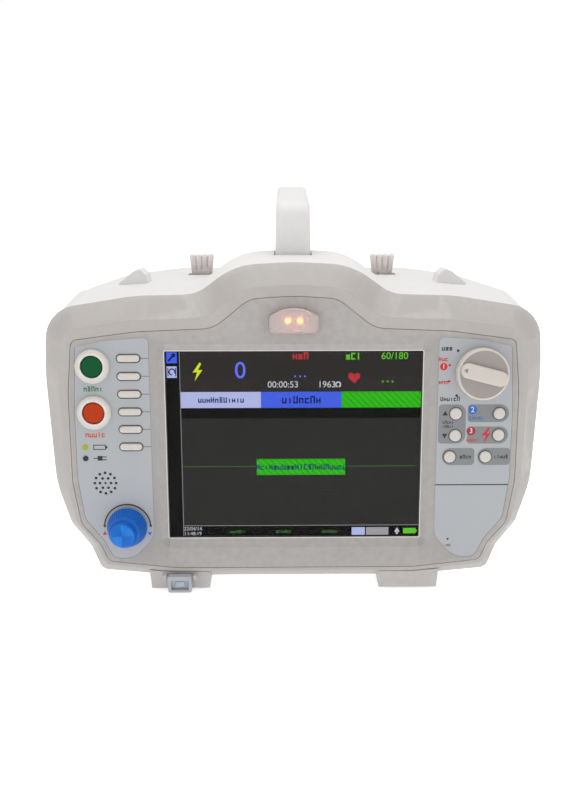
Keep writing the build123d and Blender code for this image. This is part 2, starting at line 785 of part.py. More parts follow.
with BuildPart() as main_board:
    with BuildSketch(front.offset(-20)):
        with Locations((0, -5)):
            Rectangle(190, 130)
    extrude(amount=-1.6)
    with BuildSketch(front.offset(-20)):
        with Locations((-50, 20), (30, 25), (60, -35), (-20, -40)):
            Rectangle(22, 22)
    extrude(amount=3)
save(main_board, "main_board")

with BuildPart() as power_board:
    block((-130, back(60), 30), (-20, back(190), 31.6))
    for x, y in ((-118, 72), (-32, 72), (-118, 178), (-32, 178)):
        rod((x, back(y), 22.5), (0, 0, 1), 3, 7.5)
    block((-126, back(64), 31.6), (-96, back(92), 52))
    block((-60, back(66), 31.6), (-30, back(96), 46))
save(power_board, "power_board")

with BuildPart() as shock_capacitor:
    rod((-88, back(100), 98), (0, 1, 0), 33, 100)
    fillet(edges(), 2)
    for x in (-100, -76):
        rod((x, back(88), 98), (0, 1, 0), 5, 12)
save(shock_capacitor, "shock_capacitor")

with BuildPart() as charge_transformer:
    block((-40, back(120), 31.7), (-22, back(170), 76))
    block((-50, back(130), 36), (-12, back(160), 70))
save(charge_transformer, "charge_transformer")

with BuildPart() as transfer_relay:
    block((40, back(60), 110), (90, back(100), 150))
    block((46, back(100), 116), (84, back(106), 144))
save(transfer_relay, "transfer_relay")
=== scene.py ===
import bmesh
import bpy
import random
from math import cos, sin, pi, radians
from mathutils import Matrix, Vector


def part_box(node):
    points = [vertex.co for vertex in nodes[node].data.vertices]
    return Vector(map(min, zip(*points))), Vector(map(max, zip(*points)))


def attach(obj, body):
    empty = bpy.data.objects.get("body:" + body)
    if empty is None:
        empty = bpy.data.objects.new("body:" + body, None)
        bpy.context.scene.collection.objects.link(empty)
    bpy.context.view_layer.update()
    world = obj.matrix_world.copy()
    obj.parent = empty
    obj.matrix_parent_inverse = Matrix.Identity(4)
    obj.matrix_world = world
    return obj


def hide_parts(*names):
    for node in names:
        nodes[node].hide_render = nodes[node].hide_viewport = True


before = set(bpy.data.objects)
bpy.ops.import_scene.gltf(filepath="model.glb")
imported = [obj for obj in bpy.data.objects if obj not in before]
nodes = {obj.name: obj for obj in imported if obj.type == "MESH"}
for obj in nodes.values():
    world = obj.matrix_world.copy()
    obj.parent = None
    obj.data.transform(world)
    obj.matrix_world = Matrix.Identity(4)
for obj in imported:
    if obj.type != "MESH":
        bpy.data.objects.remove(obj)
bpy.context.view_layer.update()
mm = 0.001
print("frame loaded")

# the tilted front panel: x to the right, y up the panel and z out of it,
# in millimetres from the middle of the screen
panelLean = radians(8)
glassDepth = 3.85  # from the middle of the display window out to the plane of the panel
glassLow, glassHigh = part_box("display_window")
outward = Vector((0, -cos(panelLean), sin(panelLean)))
screenMiddle = (glassLow + glassHigh) / 2 + outward * glassDepth * mm
panelTurn = Matrix.Rotation(pi / 2 - panelLean, 4, "X")
onPanel = Matrix.Translation(screenMiddle) @ panelTurn @ Matrix.Scale(mm, 4)
smoothAngle = radians(35)


# small helpers for making pieces
def deselectAll():
    if bpy.context.object and bpy.context.object.mode != "OBJECT":
        bpy.ops.object.mode_set(mode="OBJECT")
    bpy.ops.object.select_all(action="DESELECT")


def choose(piece):
    deselectAll()
    piece.select_set(True)
    bpy.context.view_layer.objects.active = piece


def startPiece(name):  # an empty mesh in edit mode, ready for primitives
    deselectAll()
    bpy.ops.mesh.primitive_cube_add(size=1)
    piece = bpy.context.object
    piece.name = name
    bpy.ops.object.mode_set(mode="EDIT")
    bpy.ops.mesh.delete(type="VERT")
    return piece


def addBox(middle, size, turn=0):
    bpy.ops.mesh.primitive_cube_add(
        size=1, location=middle, rotation=(0, 0, radians(turn)), scale=size
    )


def addBar(x, y, wide, high, low, thick, turn=0):  # a flat bar on the panel
    addBox((x, y, low + thick / 2), (wide, high, thick), turn)


def addDisc(x, y, radius, sides, low, thick, turn=0):  # three sides make a triangle
    bpy.ops.mesh.primitive_cylinder_add(
        vertices=sides, radius=radius, depth=thick,
        location=(x, y, low + thick / 2), rotation=(0, 0, radians(turn)),
    )


def addArc(x, y, radius, width, startTurn, sweep, low, thick, steps=48):
    start = radians(startTurn)
    bpy.ops.mesh.select_all(action="DESELECT")
    bpy.ops.mesh.primitive_plane_add(
        size=1, location=(x + radius * cos(start), y + radius * sin(start), low + thick / 2),
        rotation=(pi / 2, 0, start), scale=(width, thick, 1),
    )
    # spin goes round clockwise, so the sweep is turned over
    bpy.ops.mesh.spin(steps=steps, angle=-radians(sweep), center=(x, y, 0), axis=(0, 0, 1))


def finishPiece(piece, matrix, body, material, smooth=True):
    choose(piece)
    piece.matrix_world = matrix @ piece.matrix_world
    bpy.ops.object.transform_apply(location=True, rotation=True, scale=True)
    bpy.ops.object.mode_set(mode="EDIT")
    bpy.ops.mesh.select_all(action="SELECT")
    bpy.ops.mesh.normals_make_consistent(inside=False)
    bpy.ops.object.mode_set(mode="OBJECT")
    if smooth:
        bpy.ops.object.shade_smooth_by_angle(angle=smoothAngle)
    piece.data.materials.clear()
    piece.data.materials.append(material)
    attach(piece, body)


def bevelAll(piece, width, segments):
    choose(piece)
    rounding = piece.modifiers.new("rounding", "BEVEL")
    rounding.width = width
    rounding.segments = segments
    rounding.limit_method = "ANGLE"
    bpy.ops.object.modifier_apply(modifier=rounding.name)


def addWords(text, x, y, high, name, low, thick, bold=0.0):  # numbers in the built-in face
    capitalShare = 0.7  # how much of the face's size a number fills
    deselectAll()
    bpy.ops.object.text_add()
    words = bpy.context.object
    words.name = name
    words.data.body = text
    words.data.size = high / capitalShare
    words.data.align_x = "CENTER"
    words.data.align_y = "CENTER"
    words.data.extrude = thick / 2
    words.data.offset = bold
    bpy.ops.object.convert(target="MESH")
    bpy.ops.transform.translate(value=(x, y, low + thick / 2))
    bpy.ops.object.transform_apply(location=True, rotation=True, scale=True)
    return words


# shares of the letter's height, and how many letters stand tall
letterLook = {"wide": 0.62, "stroke": 0.2, "pitch": 1.22, "short": 0.74, "tallOnes": 0.3}


def addScribble(x, y, high, letters, seed, low, thick):  # letter-like strokes that spell nothing
    chance = random.Random(seed)
    wide = high * letterLook["wide"]
    stroke = high * letterLook["stroke"]
    pitch = wide * letterLook["pitch"]
    for index in range(letters):
        middle = x + pitch * (index - (letters - 1) / 2)
        shape = chance.choice("nucehi")
        tall = high if chance.random() < letterLook["tallOnes"] else high * letterLook["short"]
        base = y - high / 2 + tall / 2
        side = (wide - stroke) / 2
        end = (tall - stroke) / 2
        for users, across, along, size in (
            ("nuch", -side, 0, (stroke, tall)), ("nuh", side, 0, (stroke, tall)),
            ("nce", 0, end, (wide, stroke)), ("uce", 0, -end, (wide, stroke)),
            ("eh", 0, 0, (wide, stroke)), ("ei", 0, 0, (stroke, tall)),
        ):
            if shape in users:
                addBar(middle + across, base + along, *size, low, thick)


def addShape(points, low, thick):  # a flat shape with any outline, added to the piece in edit mode
    mesh = bpy.context.object.data
    edit = bmesh.from_edit_mesh(mesh)
    base = [edit.verts.new((x, y, low)) for x, y in points]
    top = [edit.verts.new((x, y, low + thick)) for x, y in points]
    edit.faces.new(list(reversed(base)))
    edit.faces.new(top)
    for index in range(len(points)):
        after = (index + 1) % len(points)
        edit.faces.new((base[index], base[after], top[after], top[index]))
    bmesh.update_edit_mesh(mesh)


def boltShape(x, y, high):  # a lightning bolt
    form = [(0.12, 0.5), (-0.26, -0.04), (-0.02, -0.02), (-0.16, -0.5), (0.26, 0.1), (0.02, 0.08),
            (0.2, 0.42)]
    return [(x + across * high, y + along * high) for across, along in form]


def roundedShape(left, right, low, high, leftRadius, rightRadius, steps=8):
    points = []
    for x, y, radius, start in (
        (right, high, rightRadius, 0), (left, high, leftRadius, 90),
        (left, low, leftRadius, 180), (right, low, rightRadius, 270),
    ):
        centreX = x - radius if x == right else x + radius
        centreY = y - radius if y == high else y + radius
        for step in range(steps + 1):
            around = radians(start + 90 * step / steps)
            points.append((centreX + radius * cos(around), centreY + radius * sin(around)))
    return points


def heartShape(x, y, wide, steps=32):  # the usual heart curve, which is 32 units wide
    points = []
    for step in range(steps):
        around = 2 * pi * step / steps
        across = 16 * sin(around) ** 3
        along = 13 * cos(around) - 5 * cos(2 * around) - 2 * cos(3 * around) - cos(4 * around)
        points.append((x + across * wide / 32, y + along * wide / 32))
    return points


# shader helpers
def fillInputs(node, values):
    for label, value in values.items():
        node.inputs[label].default_value = value


def addNode(tree, kind, values=None, **settings):
    node = tree.nodes.new("ShaderNode" + kind)
    for setting, value in settings.items():
        setattr(node, setting, value)
    fillInputs(node, values or {})
    return node


def newGroup(name, inputs, outputs):
    group = bpy.data.node_groups.new(name, "ShaderNodeTree")
    for label, kind, default in inputs:
        socket = group.interface.new_socket(label, in_out="INPUT", socket_type=kind)
        if default is not None:
            socket.default_value = default
    for label, kind in outputs:
        group.interface.new_socket(label, in_out="OUTPUT", socket_type=kind)
    return group, group.nodes.new("NodeGroupInput"), group.nodes.new("NodeGroupOutput")


def makeMouldGrain():  # texture of a moulded cover: its height, and a slow drift of tone
    group, entry, leave = newGroup(
        "mouldGrain",
        [("Vector", "NodeSocketVector", None), ("Scale", "NodeSocketFloat", 1200.0)],
        [("Height", "NodeSocketFloat"), ("Tone", "NodeSocketFloat")],
    )
    fine = addNode(group, "TexNoise", {"Detail": 3})
    pits = addNode(group, "TexVoronoi")
    drift = addNode(group, "TexNoise", {"Scale": 14, "Detail": 4})
    both = addNode(group, "Math", operation="MULTIPLY")
    join = group.links.new
    for texture in (fine, pits, drift):
        join(entry.outputs["Vector"], texture.inputs["Vector"])
    for texture in (fine, pits):
        join(entry.outputs["Scale"], texture.inputs["Scale"])
    join(fine.outputs["Fac"], both.inputs[0])
    join(pits.outputs["Distance"], both.inputs[1])
    join(both.outputs["Value"], leave.inputs["Height"])
    join(drift.outputs["Fac"], leave.inputs["Tone"])
    return group


def makeEdgeHighlight():  # 1 on sharp outer edges, broken up by noise: the mask of a painted highlight
    group, entry, leave = newGroup(
        "edgeHighlight",
        [("Vector", "NodeSocketVector", None), ("Width", "NodeSocketFloat", 0.06)],
        [("Mask", "NodeSocketFloat")],
    )
    flat = 0.5  # pointiness of a flat face
    form = addNode(group, "NewGeometry")
    rim = addNode(group, "MapRange", {"From Min": flat})
    sharp = addNode(group, "Math", {0: flat}, operation="ADD")
    broken = addNode(group, "TexNoise", {"Scale": 180})
    both = addNode(group, "Math", operation="MULTIPLY")
    join = group.links.new
    join(entry.outputs["Vector"], broken.inputs["Vector"])
    join(entry.outputs["Width"], sharp.inputs[1])
    join(sharp.outputs["Value"], rim.inputs["From Max"])
    join(form.outputs["Pointiness"], rim.inputs["Value"])
    join(rim.outputs["Result"], both.inputs[0])
    join(broken.outputs["Fac"], both.inputs[1])
    join(both.outputs["Value"], leave.inputs["Mask"])
    return group


def makeDust():  # a little dust on what faces up
    group, entry, leave = newGroup(
        "dust",
        [("Vector", "NodeSocketVector", None), ("Amount", "NodeSocketFloat", 0.1)],
        [("Mask", "NodeSocketFloat")],
    )
    form = addNode(group, "NewGeometry")
    split = addNode(group, "SeparateXYZ")
    cloud = addNode(group, "TexNoise", {"Scale": 30, "Detail": 6})
    upward = addNode(group, "Math", operation="MULTIPLY")
    amount = addNode(group, "Math", operation="MULTIPLY", use_clamp=True)
    join = group.links.new
    join(entry.outputs["Vector"], cloud.inputs["Vector"])
    join(form.outputs["Normal"], split.inputs["Vector"])
    join(split.outputs["Z"], upward.inputs[0])
    join(cloud.outputs["Fac"], upward.inputs[1])
    join(upward.outputs["Value"], amount.inputs[0])
    join(entry.outputs["Amount"], amount.inputs[1])
    join(amount.outputs["Value"], leave.inputs["Mask"])
    return group


def makePanelWalls():  # 1 on walls that stand square to the front panel, where painted gap shade goes
    group, entry, leave = newGroup("panelWalls", [], [("Mask", "NodeSocketFloat")])
    form = addNode(group, "NewGeometry")
    along = addNode(group, "VectorMath", {1: outward}, operation="DOT_PRODUCT")
    size = addNode(group, "Math", operation="ABSOLUTE")
    rim = addNode(group, "MapRange", {"From Min": 0.2, "From Max": 0.1})
    join = group.links.new
    join(form.outputs["Normal"], along.inputs[0])
    join(along.outputs["Value"], size.inputs[0])
    join(size.outputs["Value"], rim.inputs["Value"])
    join(rim.outputs["Result"], leave.inputs["Mask"])
    return group


mouldGrain = makeMouldGrain()
edgeHighlight = makeEdgeHighlight()
dust = makeDust()
panelWalls = makePanelWalls()


def startMaterial(name):  # also gives its shader and the place on the object
    material = bpy.data.materials.new(name)
    material.use_nodes = True
    tree = material.node_tree
    return material, tree, tree.nodes["Principled BSDF"], addNode(tree, "TexCoord").outputs["Object"]


def addEffect(tree, group, place, values):
    effect = addNode(tree, "Group", values, node_tree=group)
    tree.links.new(place, effect.inputs["Vector"])
    return effect


def addMix(tree, share, first, second):  # first is a colour or what came before, second a colour
    mix = addNode(tree, "Mix", data_type="RGBA")
    mix.inputs["B"].default_value = (*second, 1)
    tree.links.new(share, mix.inputs["Factor"])
    if isinstance(first, tuple):
        mix.inputs["A"].default_value = (*first, 1)
    else:
        tree.links.new(first, mix.inputs["A"])
    return mix.outputs["Result"]


dustColour = (0.55, 0.53, 0.5)


def surface(name, look):  # a solid finish: tone drift, fine grain, a painted highlight on sharp edges and a little dust
    material, tree, shader, place = startMaterial(name)
    join = tree.links.new
    colour = look["colour"]
    grain = addEffect(tree, mouldGrain, place, {"Scale": look.get("grain", 1200)})
    edgeShine = addEffect(tree, edgeHighlight, place, {"Width": look.get("edgeShineWidth", 0.08)})
    film = addEffect(tree, dust, place, {"Amount": look.get("dust", 0.08)})
    tone = addMix(tree, grain.outputs["Tone"], colour, look.get("second", colour))
    # painted highlight: sharp outer edges are mixed towards a lighter colour
    tone = addMix(tree, edgeShine.outputs["Mask"], tone, look.get("edgeShineColour", colour))
    tone = addMix(tree, film.outputs["Mask"], tone, dustColour)
    if "shadeFade" in look:  # painted shade at the root: the colour fades to a second, lighter colour towards the top, between two heights in metres
        parts = addNode(tree, "SeparateXYZ")
        climb = addNode(tree, "MapRange", {"From Min": look["shadeFade"][0], "From Max": look["shadeFade"][1]})
        join(place, parts.inputs["Vector"])
        join(parts.outputs["Z"], climb.inputs["Value"])
        tone = addMix(tree, climb.outputs["Result"], tone, look["tip"])
    if "gap" in look:  # painted shade: walls that stand square to the panel are mixed towards a dark colour, as if in the dark of a gap
        walls = addNode(tree, "Group", node_tree=panelWalls)
        tone = addMix(tree, walls.outputs["Mask"], tone, look["gap"])
    join(tone, shader.inputs["Base Color"])
    sheen = addNode(tree, "MapRange", {"To Min": look["rough"] - 0.05, "To Max": look["rough"] + 0.07})
    join(grain.outputs["Tone"], sheen.inputs["Value"])
    join(sheen.outputs["Result"], shader.inputs["Roughness"])
    bump = addNode(tree, "Bump", {"Strength": look.get("bump", 0.15), "Distance": 0.0002})
    join(grain.outputs["Height"], bump.inputs["Height"])
    join(bump.outputs["Normal"], shader.inputs["Normal"])
    fillInputs(shader, {
        "Metallic": look.get("metallic", 0), "Specular IOR Level": look.get("shine", 0.5),
        "Coat Weight": look.get("coat", 0), "Subsurface Weight": look.get("soft", 0),
        "Subsurface Scale": 0.002,
    })
    return material


def lit(name, colour, strength, stripe=None):  # a glowing patch, striped or broken by fine rows
    rows = stripe or {"turn": (0, 0, 0), "scale": 1500, "second": tuple(0.93 * part for part in colour)}
    material, tree, shader, place = startMaterial(name)
    join = tree.links.new
    turned = addNode(tree, "Mapping", {"Rotation": rows["turn"]})
    wave = addNode(tree, "TexWave", {"Scale": rows["scale"]}, bands_direction="X" if stripe else "Z")
    join(place, turned.inputs["Vector"])
    join(turned.outputs["Vector"], wave.inputs["Vector"])
    join(addMix(tree, wave.outputs["Fac"], colour, rows["second"]), shader.inputs["Emission Color"])
    fillInputs(shader, {
        "Emission Strength": strength, "Base Color": (0.004, 0.004, 0.004, 1), "Roughness": 0.6,
        "Specular IOR Level": 0.05,
    })
    return material


def clear(name, look):  # glass or a clear moulding, with faint cloudiness
    material, tree, shader, place = startMaterial(name)
    grain = addEffect(tree, mouldGrain, place, {"Scale": look["grain"]})
    haze = addNode(tree, "MapRange", {"To Min": look["rough"], "To Max": look["rough"] + look["cloud"]})
    tree.links.new(grain.outputs["Tone"], haze.inputs["Value"])
    tree.links.new(haze.outputs["Result"], shader.inputs["Roughness"])
    fillInputs(shader, {
        "Base Color": (*look["colour"], 1), "Transmission Weight": look["through"], "IOR": look["ior"],
    })
    return material


looks = {
    "cover": {"colour": (0.74, 0.725, 0.715), "second": (0.71, 0.695, 0.685),
              "edgeShineColour": (0.78, 0.77, 0.76), "rough": 0.48, "grain": 1500, "bump": 0.12, "dust": 0.05},
    # bezel, feet and printer door: the cover's off-white plastic, darkened as painted shade for faces
    # that get less light
    "bezel": {"colour": (0.42, 0.395, 0.378), "second": (0.405, 0.38, 0.363),
              "edgeShineColour": (0.52, 0.495, 0.475), "rough": 0.46, "grain": 1500, "bump": 0.14, "dust": 0.05},
    # fascia: the same off-white plastic, darkened further as painted shade on the front that faces the
    # camera; the dark colour after it is painted shade on walls square to the panel
    "fascia": {"colour": (0.335, 0.318, 0.305), "second": (0.325, 0.308, 0.295),
               "edgeShineColour": (0.45, 0.43, 0.415), "rough": 0.44, "grain": 1700, "bump": 0.14, "dust": 0.03,
               "gap": (0.03, 0.028, 0.026)},
    # label and port flap: their own blue-grey, darkened as painted shade on the front
    "label": {"colour": (0.4, 0.415, 0.435), "second": (0.39, 0.405, 0.425), "rough": 0.36,
              "grain": 2600, "bump": 0.06, "dust": 0.02},
    "keys": {"colour": (0.6, 0.565, 0.53), "second": (0.57, 0.535, 0.5), "edgeShineColour": (0.80, 0.77, 0.73),
             "rough": 0.38, "grain": 2200, "bump": 0.08, "dust": 0.03, "soft": 0.1},
    "modeKnob": {"colour": (0.58, 0.535, 0.49), "second": (0.56, 0.515, 0.47),
                 "edgeShineColour": (0.78, 0.75, 0.71), "rough": 0.36, "grain": 2000, "bump": 0.08, "dust": 0.03},
    # latch: the dark brownish colour is painted shadow at the root of the fingers, fading up to the pale
    # tip colour
    "latch": {"colour": (0.42, 0.34, 0.31), "second": (0.45, 0.37, 0.34), "edgeShineColour": (0.8, 0.77, 0.75),
              "rough": 0.4, "grain": 1600, "bump": 0.1, "edgeShineWidth": 0.05, "shadeFade": (0.243, 0.257),
              "tip": (0.84, 0.8, 0.78)},
    "green": {"colour": (0.001, 0.085, 0.026), "second": (0.001, 0.07, 0.021),
              "edgeShineColour": (0.02, 0.2, 0.08), "rough": 0.4, "grain": 1500, "bump": 0.05, "dust": 0,
              "shine": 0.15},
    "orange": {"colour": (0.46, 0.038, 0.004), "second": (0.41, 0.032, 0.003),
               "edgeShineColour": (0.75, 0.15, 0.03), "rough": 0.4, "grain": 1500, "bump": 0.05, "dust": 0,
               "shine": 0.15},
    "blue": {"colour": (0.002, 0.105, 0.5), "second": (0.002, 0.085, 0.42), "edgeShineColour": (0.03, 0.28, 0.8),
             "rough": 0.4, "grain": 1800, "bump": 0.08, "dust": 0, "shine": 0.2},
    "dark": {"colour": (0.03, 0.03, 0.032), "second": (0.022, 0.022, 0.024),
             "edgeShineColour": (0.09, 0.09, 0.09), "rough": 0.5, "grain": 1400, "bump": 0.15, "dust": 0.1},
    "grey": {"colour": (0.12, 0.125, 0.13), "second": (0.1, 0.105, 0.11), "edgeShineColour": (0.2, 0.2, 0.2),
             "rough": 0.45, "grain": 1400, "bump": 0.15, "dust": 0.08},
    "rubber": {"colour": (0.02, 0.02, 0.02), "second": (0.03, 0.03, 0.03), "edgeShineColour": (0.07, 0.07, 0.07),
               "rough": 0.75, "grain": 900, "bump": 0.3, "dust": 0.2},
    "steel": {"colour": (0.56, 0.56, 0.57), "second": (0.5, 0.5, 0.51), "edgeShineColour": (0.75, 0.75, 0.75),
              "rough": 0.28, "grain": 2500, "bump": 0.06, "metallic": 1},
    "sheet": {"colour": (0.62, 0.63, 0.64), "second": (0.55, 0.56, 0.57), "rough": 0.42,
              "grain": 1800, "bump": 0.1, "metallic": 1},
    "board": {"colour": (0.01, 0.09, 0.04), "second": (0.01, 0.07, 0.03), "edgeShineColour": (0.3, 0.2, 0.05),
              "rough": 0.35, "grain": 900, "bump": 0.1, "coat": 0.3},
    "paper": {"colour": (0.85, 0.84, 0.81), "second": (0.8, 0.79, 0.75), "rough": 0.7, "grain": 3000,
              "bump": 0.1},
    "cell": {"colour": (0.01, 0.04, 0.2), "second": (0.01, 0.03, 0.16), "rough": 0.3, "grain": 800,
             "bump": 0.05, "coat": 0.3},
}
clearLooks = {
    "displayGlass": {"colour": (1, 1, 1), "rough": 0.01, "cloud": 0.01, "through": 1.0, "ior": 1.08,
                     "grain": 400},
    "lensMoulding": {"colour": (0.9, 0.8, 0.79), "rough": 0.22, "cloud": 0.1, "through": 0.6,
                     "ior": 1.4, "grain": 300},
    "flapInsert": {"colour": (0.6, 0.66, 0.72), "rough": 0.2, "cloud": 0.1, "through": 0.35,
                   "ior": 1.4, "grain": 300},
}
finishes = {name: surface(name, look) for name, look in looks.items()}
finishes.update({name: clear(name, look) for name, look in clearLooks.items()})
finishes["lamp"] = lit("lamp", (1.0, 0.25, 0.03), 9)

finishOf = {
    "cover": ["rear_housing", "top_cover", "side_panels", "carry_handle"],
    "bezel": ["front_bezel", "front_feet", "rear_feet", "printer_door"],
    "fascia": ["front_fascia"],
    "label": ["left_label", "right_label", "port_flap"],
    "keys": ["button_rings", "energy_up_key", "energy_down_key", "charge_key", "shock_key",
             "sync_key", "disarm_key"] + [f"soft_key_{number}" for number in range(1, 7)],
    "modeKnob": ["mode_knob"],
    "latch": ["paddle_latch_left", "paddle_latch_right"],
    "green": ["print_button"],
    "orange": ["alarm_button"],
    "blue": ["encoder_knob"],
    "displayGlass": ["display_window"],
    "lensMoulding": ["alarm_lens"],
    "lamp": ["indicator_lights"],
    "dark": ["lcd_module", "speaker", "mains_inlet", "charge_transformer", "transfer_relay"],
    "grey": ["ecg_socket", "sensor_socket", "paddle_socket", "printer_frame", "battery_pack"],
    "rubber": ["foot_pads", "front_seal", "platen_roller"],
    "steel": ["encoder_spindle", "cover_screws", "hinge_pins", "microphone"],
    "sheet": ["chassis", "panel_switches", "print_head"],
    "board": ["panel_boards", "main_board", "power_board"],
    "paper": ["paper_roll"],
    "cell": ["shock_capacitor"],
}
for finishName, members in finishOf.items():
    for member in members:
        nodes[member].data.materials.clear()
        nodes[member].data.materials.append(finishes[finishName])
finished = sum(finishOf.values(), [])
print("materials made, nodes without one:", [name for name in nodes if name not in finished])

# the display's picture, in layers from the back to the top
screenLook = {"back": -4.78, "cell": -4.765, "mark": -4.75, "top": -4.735, "step": 0.012}
glow = {
    "backdrop": lit("screenBackdrop", (0.022, 0.022, 0.021), 1),
    "sidebar": lit("screenSidebar", (0.002, 0.002, 0.002), 1),
    "cell": lit("screenCell", (0.026, 0.023, 0.021), 1),
    "line": lit("screenLine", (0.33, 0.33, 0.35), 1),
    "lilac": lit("screenLilac", (0.43, 0.47, 0.78), 1),
    "blue": lit("screenBlue", (0.055, 0.115, 0.75), 1),
    "navy": lit("screenNavy", (0.006, 0.012, 0.09), 1),
    "stripes": lit("screenStripes", (0.03, 0.5, 0.006), 1,
                   {"turn": (0, radians(45), 0), "scale": 84, "second": (0.016, 0.34, 0.004)}),
    "yellow": lit("screenYellow", (0.6, 0.68, 0.015), 1.1),
    "digits": lit("screenDigits", (0.12, 0.16, 0.9), 1.1),
    "pale": lit("screenPale", (0.55, 0.56, 0.62), 1),
    "red": lit("screenRed", (0.42, 0.028, 0.04), 1.1),
    "green": lit("screenGreen", (0.11, 0.55, 0.025), 1),
    "dim": lit("screenDim", (0.05, 0.17, 0.03), 1),
}
screenParts = []


def screenPiece(name, shade):
    screenParts.append((startPiece(name), glow[shade]))


def onGlass(layer):
    return {"low": screenLook[layer], "thick": screenLook["step"]}


def addPatch(left, right, low, high, layer="mark"):
    addBar((left + right) / 2, (low + high) / 2, right - left, high - low, **onGlass(layer))


screenMark = onGlass("mark")
screenTop = onGlass("top")
screenPiece("screenBackdrop", "backdrop")
addPatch(-105, 105, -78.6, 78.6, "back")
screenPiece("screenSidebar", "sidebar")
addPatch(-105, -94, -78.5, 78.5, "cell")
addPatch(-93.3, 105, 23, 31.5, "cell")
addPatch(-93.3, 105, -78.5, -70.2, "cell")
screenPiece("screenCells", "cell")
for cellLeft, cellRight in ((-93.2, -27.7), (-26.9, 38.9), (39.7, 105)):
    addPatch(cellLeft, cellRight, 45.5, 78.5, "cell")
screenPiece("screenLines", "line")
addPatch(-93.8, -93.4, -78.5, 78.5)
addPatch(-93.2, 105, -69.8, -69.4)
screenPiece("screenBaseline", "dim")
addPatch(-93, 102, -18.3, -17.8)
for middle in (-48, -9, 30):
    addScribble(middle, -75, 2.5, 7, middle, **screenMark)
screenPiece("screenStatus", "lilac")
addPatch(-93.2, -27.3, 31.8, 45.2)
addPatch(48.8, 60, -78.3, -71.5)
addPatch(-104.2, -96, 57, 66.5)
screenPiece("screenTab", "line")
addPatch(61, 80, -78.3, -71.5)
screenPiece("screenWaiting", "blue")
addPatch(-27.3, 39.3, 31.8, 45.2)
addPatch(-104.2, -95.6, 69, 78.2)
screenPiece("screenStripes", "stripes")
addPatch(39.3, 104.8, 31.8, 45.2)
addPatch(-31.2, 42.7, -25.4, -11.8)
screenPiece("screenNavy", "navy")
addScribble(-60.2, 38.5, 4.6, 11, 3, **screenTop)
addScribble(6, 38.5, 6.2, 7, 4, **screenTop)
addScribble(6, -18.6, 4.8, 21, 5, **screenTop)
addArc(-99.9, 62, 2.4, 0.8, -30, 300, **screenTop)
addBar(-100.6, 73.2, 1.5, 6, turn=-40, **screenTop)
addDisc(-98.4, 75.6, 1.7, 16, **screenTop)
for x in (-103.2, -96.9):
    addBar(x, 61.8, 0.7, 7, **screenTop)
screenPiece("screenRed", "red")
addScribble(5.3, 75, 6, 3, 6, **screenMark)
addShape(heartShape(49.5, 57, 10), **screenMark)
screenPiece("screenGreen", "green")
addScribble(48.5, 74.5, 5.6, 3, 9, **screenMark)
for x in (73, 77, 81):
    addDisc(x, 53.5, 0.75, 16, **screenMark)
addPatch(92.5, 103.2, -77.2, -72.4)
addPatch(103.2, 104.2, -75.8, -73.8)
screenPiece("screenDots", "digits")
for x in (1, 5, 9):
    addDisc(x, 58, 0.75, 16, **screenMark)
screenPiece("screenBolt", "yellow")
addShape(boltShape(-79, 62, 15.5), **screenMark)
screenPiece("screenPale", "pale")
addArc(36.3, 51.3, 1.9, 0.6, -60, 300, **screenMark)
for x in (35.1, 37.5):
    addBar(x, 49.3, 1.6, 0.6, **screenMark)
addDisc(87.3, -74.4, 2.7, 3, **screenMark)
addBar(87.3, -76.9, 2, 1.6, **screenMark)

writtenNumbers = [  # text, x, y, height, colour and how much bolder than the face
    ("0", -44, 62.5, 13.5, "digits", 0.04), ("00:00:53", -9, 51, 5.2, "pale", 0),
    ("1963", 27, 51, 5.2, "pale", 0), ("60/180", 82.5, 74.5, 5.6, "green", 0.02),
    ("22/04/14", -85.8, -72.4, 3, "pale", 0), ("11:48:19", -85.8, -76.6, 3, "pale", 0),
]
for index, (text, x, y, high, shade, bold) in enumerate(writtenNumbers):
    words = addWords(text, x, y, high, f"screenNumber{index}", bold=bold, **screenMark)
    screenParts.append((words, glow[shade]))
for piece, shade in screenParts:
    finishPiece(piece, onPanel, "main_unit", shade, smooth=False)

lipLook = {"x": 105.9, "y": 79.5, "wide": 0.6, "low": -2.45, "thick": 0.25}
lipDepth = {"low": lipLook["low"], "thick": lipLook["thick"]}
screenLip = startPiece("screenLip")
for side in (-1, 1):
    addBar(side * lipLook["x"], 0, lipLook["wide"], 2 * lipLook["y"], **lipDepth)
    addBar(0, side * lipLook["y"], 2 * lipLook["x"], lipLook["wide"], **lipDepth)
finishPiece(screenLip, onPanel, "main_unit", finishes["cover"], smooth=False)
print("display picture made")

# marks printed on the labels
ink = {
    "black": surface("inkBlack", {"colour": (0.012, 0.012, 0.013), "rough": 0.4}),
    "red": surface("inkRed", {"colour": (0.55, 0.012, 0.02), "rough": 0.4}),
    "crimson": surface("inkCrimson", {"colour": (0.33, 0.01, 0.025), "rough": 0.4}),
    "green": surface("inkGreen", {"colour": (0.006, 0.16, 0.06), "rough": 0.4}),
    "orange": surface("inkOrange", {"colour": (0.62, 0.07, 0.012), "rough": 0.4}),
    "blue": surface("inkBlue", {"colour": (0.01, 0.13, 0.48), "rough": 0.4}),
    "grey": surface("inkGrey", {"colour": (0.215, 0.225, 0.23), "second": (0.2, 0.21, 0.215),
                                "rough": 0.42}),
    "shadow": surface("inkShadow", {"colour": (0.1, 0.1, 0.1), "rough": 0.5}),
    "pale": surface("inkPale", {"colour": (0.75, 0.75, 0.76), "rough": 0.4}),
}
inkUnder = {"low": -0.055, "thick": 0.03}
inkOver = {"low": -0.04, "thick": 0.03}
inkTop = {"low": -0.03, "thick": 0.03}
softKeys = {"x": -134.4, "top": 73.7, "pitch": 14.68, "count": 6, "straight": 12.6, "radius": 3.85}
